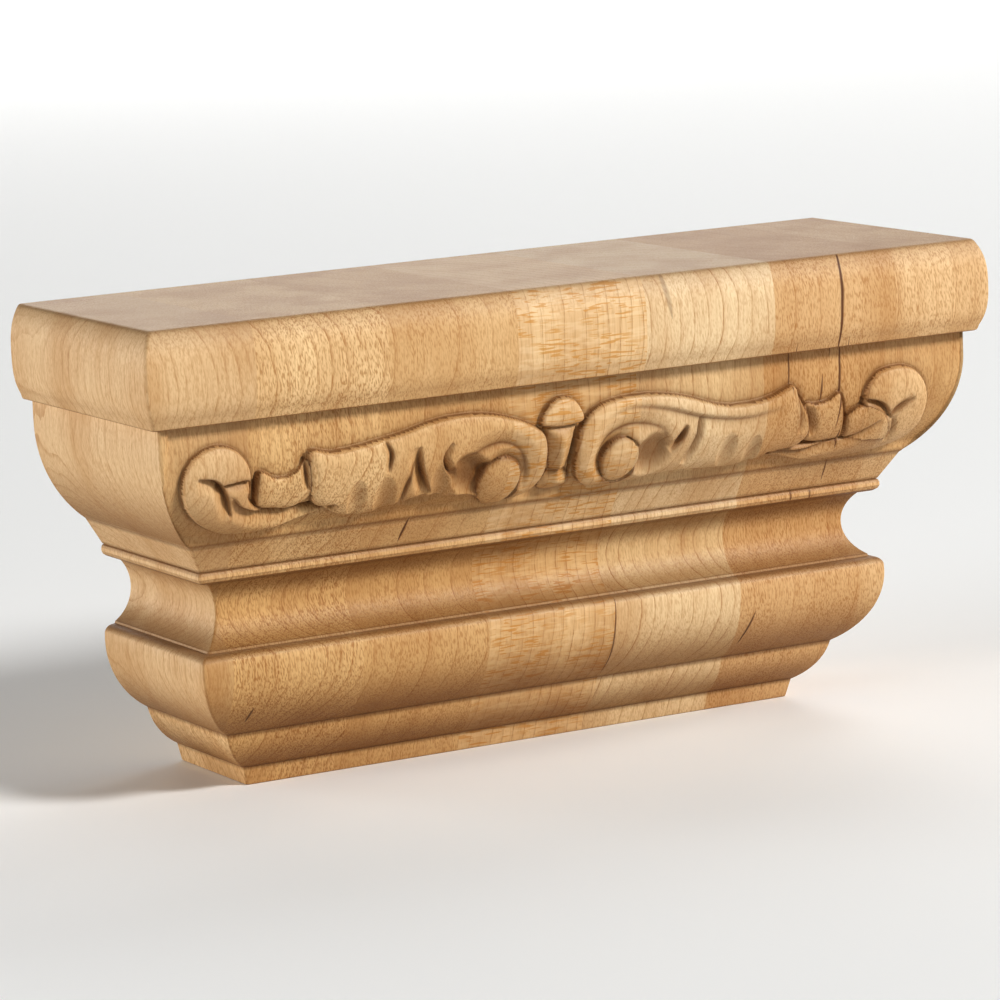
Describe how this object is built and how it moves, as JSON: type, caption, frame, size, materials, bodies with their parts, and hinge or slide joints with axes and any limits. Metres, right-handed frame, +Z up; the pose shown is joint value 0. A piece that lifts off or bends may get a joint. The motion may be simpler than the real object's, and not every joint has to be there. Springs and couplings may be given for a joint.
{
  "type": "pilaster capital",
  "caption": "Carved hardwood pilaster capital: stacked mouldings returned at both ends, a flat back, and a leafy scroll in relief below a plain abacus.",
  "frame": {"origin": "middle of the outline's box, on the underside that the capital stands on", "axes": "+Z up; +X along the front, to the right as one faces it; the carved front faces -Y and the flat back faces +Y"},
  "size_m": [0.2018, 0.0644, 0.1016],
  "materials": {
    "wood": "sanded pale hardwood with a satin sheen"
  },
  "bodies": {
    "root": {"capital": "wood"}
  },
  "joints": []
}
